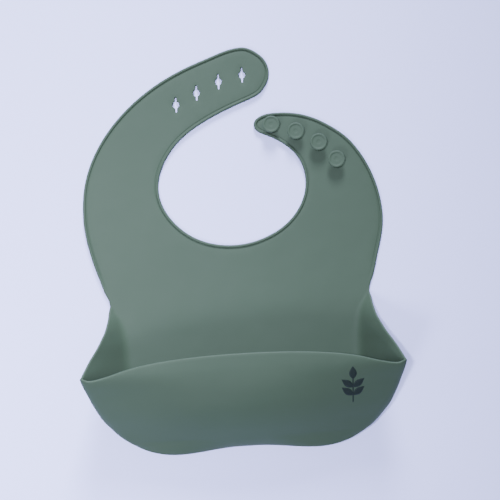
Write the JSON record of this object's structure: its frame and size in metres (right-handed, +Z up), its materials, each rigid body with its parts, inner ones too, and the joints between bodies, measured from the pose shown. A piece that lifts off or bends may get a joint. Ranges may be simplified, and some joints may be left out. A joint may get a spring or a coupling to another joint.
{
  "type": "silicone baby bib",
  "caption": "Soft silicone baby bib with a wide open catch pocket, one neck strap with keyholes and one with round studs.",
  "frame": {"origin": "middle of the bib's footprint, on the surface its back rests on", "axes": "+Y from the pocket up to the neck straps, +Z up out of the bib's front, +X to the side with the studs"},
  "size_m": [0.2324, 0.3003, 0.0479],
  "materials": {
    "silicone": "matte moulded silicone rubber, sage grey-green",
    "print": "matte dark green silicone ink"
  },
  "bodies": {
    "lower_bib": {"lower_panel": "silicone", "pocket_foot": "silicone", "left_gusset": "silicone", "right_gusset": "silicone"},
    "pocket_wall": {"pocket_front": "silicone", "pocket_rim": "silicone", "printed_mark": "print"},
    "upper_bib": {"waist_bend": "silicone", "upper_panel": "silicone", "neck_edge": "silicone", "left_edge": "silicone", "right_edge": "silicone"},
    "hole_strap_lower": {"hole_strap_root_bend": "silicone", "hole_strap_middle": "silicone"},
    "hole_strap_end": {"hole_strap_tip_bend": "silicone", "hole_strap_tip": "silicone", "hole_strap_tip_edge": "silicone"},
    "stud_strap_lower": {"stud_strap_root_bend": "silicone", "stud_strap_middle": "silicone"},
    "stud_strap_end": {"stud_strap_tip_bend": "silicone", "stud_strap_tip": "silicone", "stud_strap_tip_edge": "silicone", "stud_1": "silicone", "stud_2": "silicone", "stud_3": "silicone", "stud_4": "silicone"}
  },
  "joints": [
    {"name": "waist_fold", "type": "hinge", "parent": "lower_bib", "child": "upper_bib", "pos_m": [0, -0.033, 0.001], "axis": [1, 0, 0], "range_deg": [0, 95], "stiffness_Nm_per_rad": 0.04, "deforming": ["waist_bend"]},
    {"name": "pocket_flex", "type": "hinge", "parent": "lower_bib", "child": "pocket_wall", "pos_m": [0, -0.136, 0.004], "axis": [1, 0, 0], "range_deg": [-28, 10], "stiffness_Nm_per_rad": 0.4, "deforming": ["left_gusset", "right_gusset", "pocket_foot"]},
    {"name": "hole_strap_root_curl", "type": "hinge", "parent": "upper_bib", "child": "hole_strap_lower", "pos_m": [-0.08, 0.066, 0.001], "axis": [0.891, -0.454, 0], "range_deg": [0, 40], "stiffness_Nm_per_rad": 0.012, "deforming": ["hole_strap_root_bend"]},
    {"name": "hole_strap_tip_curl", "type": "hinge", "parent": "hole_strap_lower", "child": "hole_strap_end", "pos_m": [-0.06, 0.095, 0.001], "axis": [0.682, -0.7314, 0], "range_deg": [0, 40], "stiffness_Nm_per_rad": 0.01, "deforming": ["hole_strap_tip_bend"]},
    {"name": "stud_strap_root_curl", "type": "hinge", "parent": "upper_bib", "child": "stud_strap_lower", "pos_m": [0.085, 0.02, 0.001], "axis": [0.9994, -0.0349, 0], "range_deg": [0, 40], "stiffness_Nm_per_rad": 0.012, "deforming": ["stud_strap_root_bend"]},
    {"name": "stud_strap_tip_curl", "type": "hinge", "parent": "stud_strap_lower", "child": "stud_strap_end", "pos_m": [0.0825, 0.043, 0.001], "axis": [0.9903, 0.1392, 0], "range_deg": [0, 40], "stiffness_Nm_per_rad": 0.01, "deforming": ["stud_strap_tip_bend"]}
  ],
  "couplings": [
    {"joint": "hole_strap_tip_curl", "follows": "hole_strap_root_curl", "ratio": 1},
    {"joint": "stud_strap_tip_curl", "follows": "stud_strap_root_curl", "ratio": 1}
  ]
}
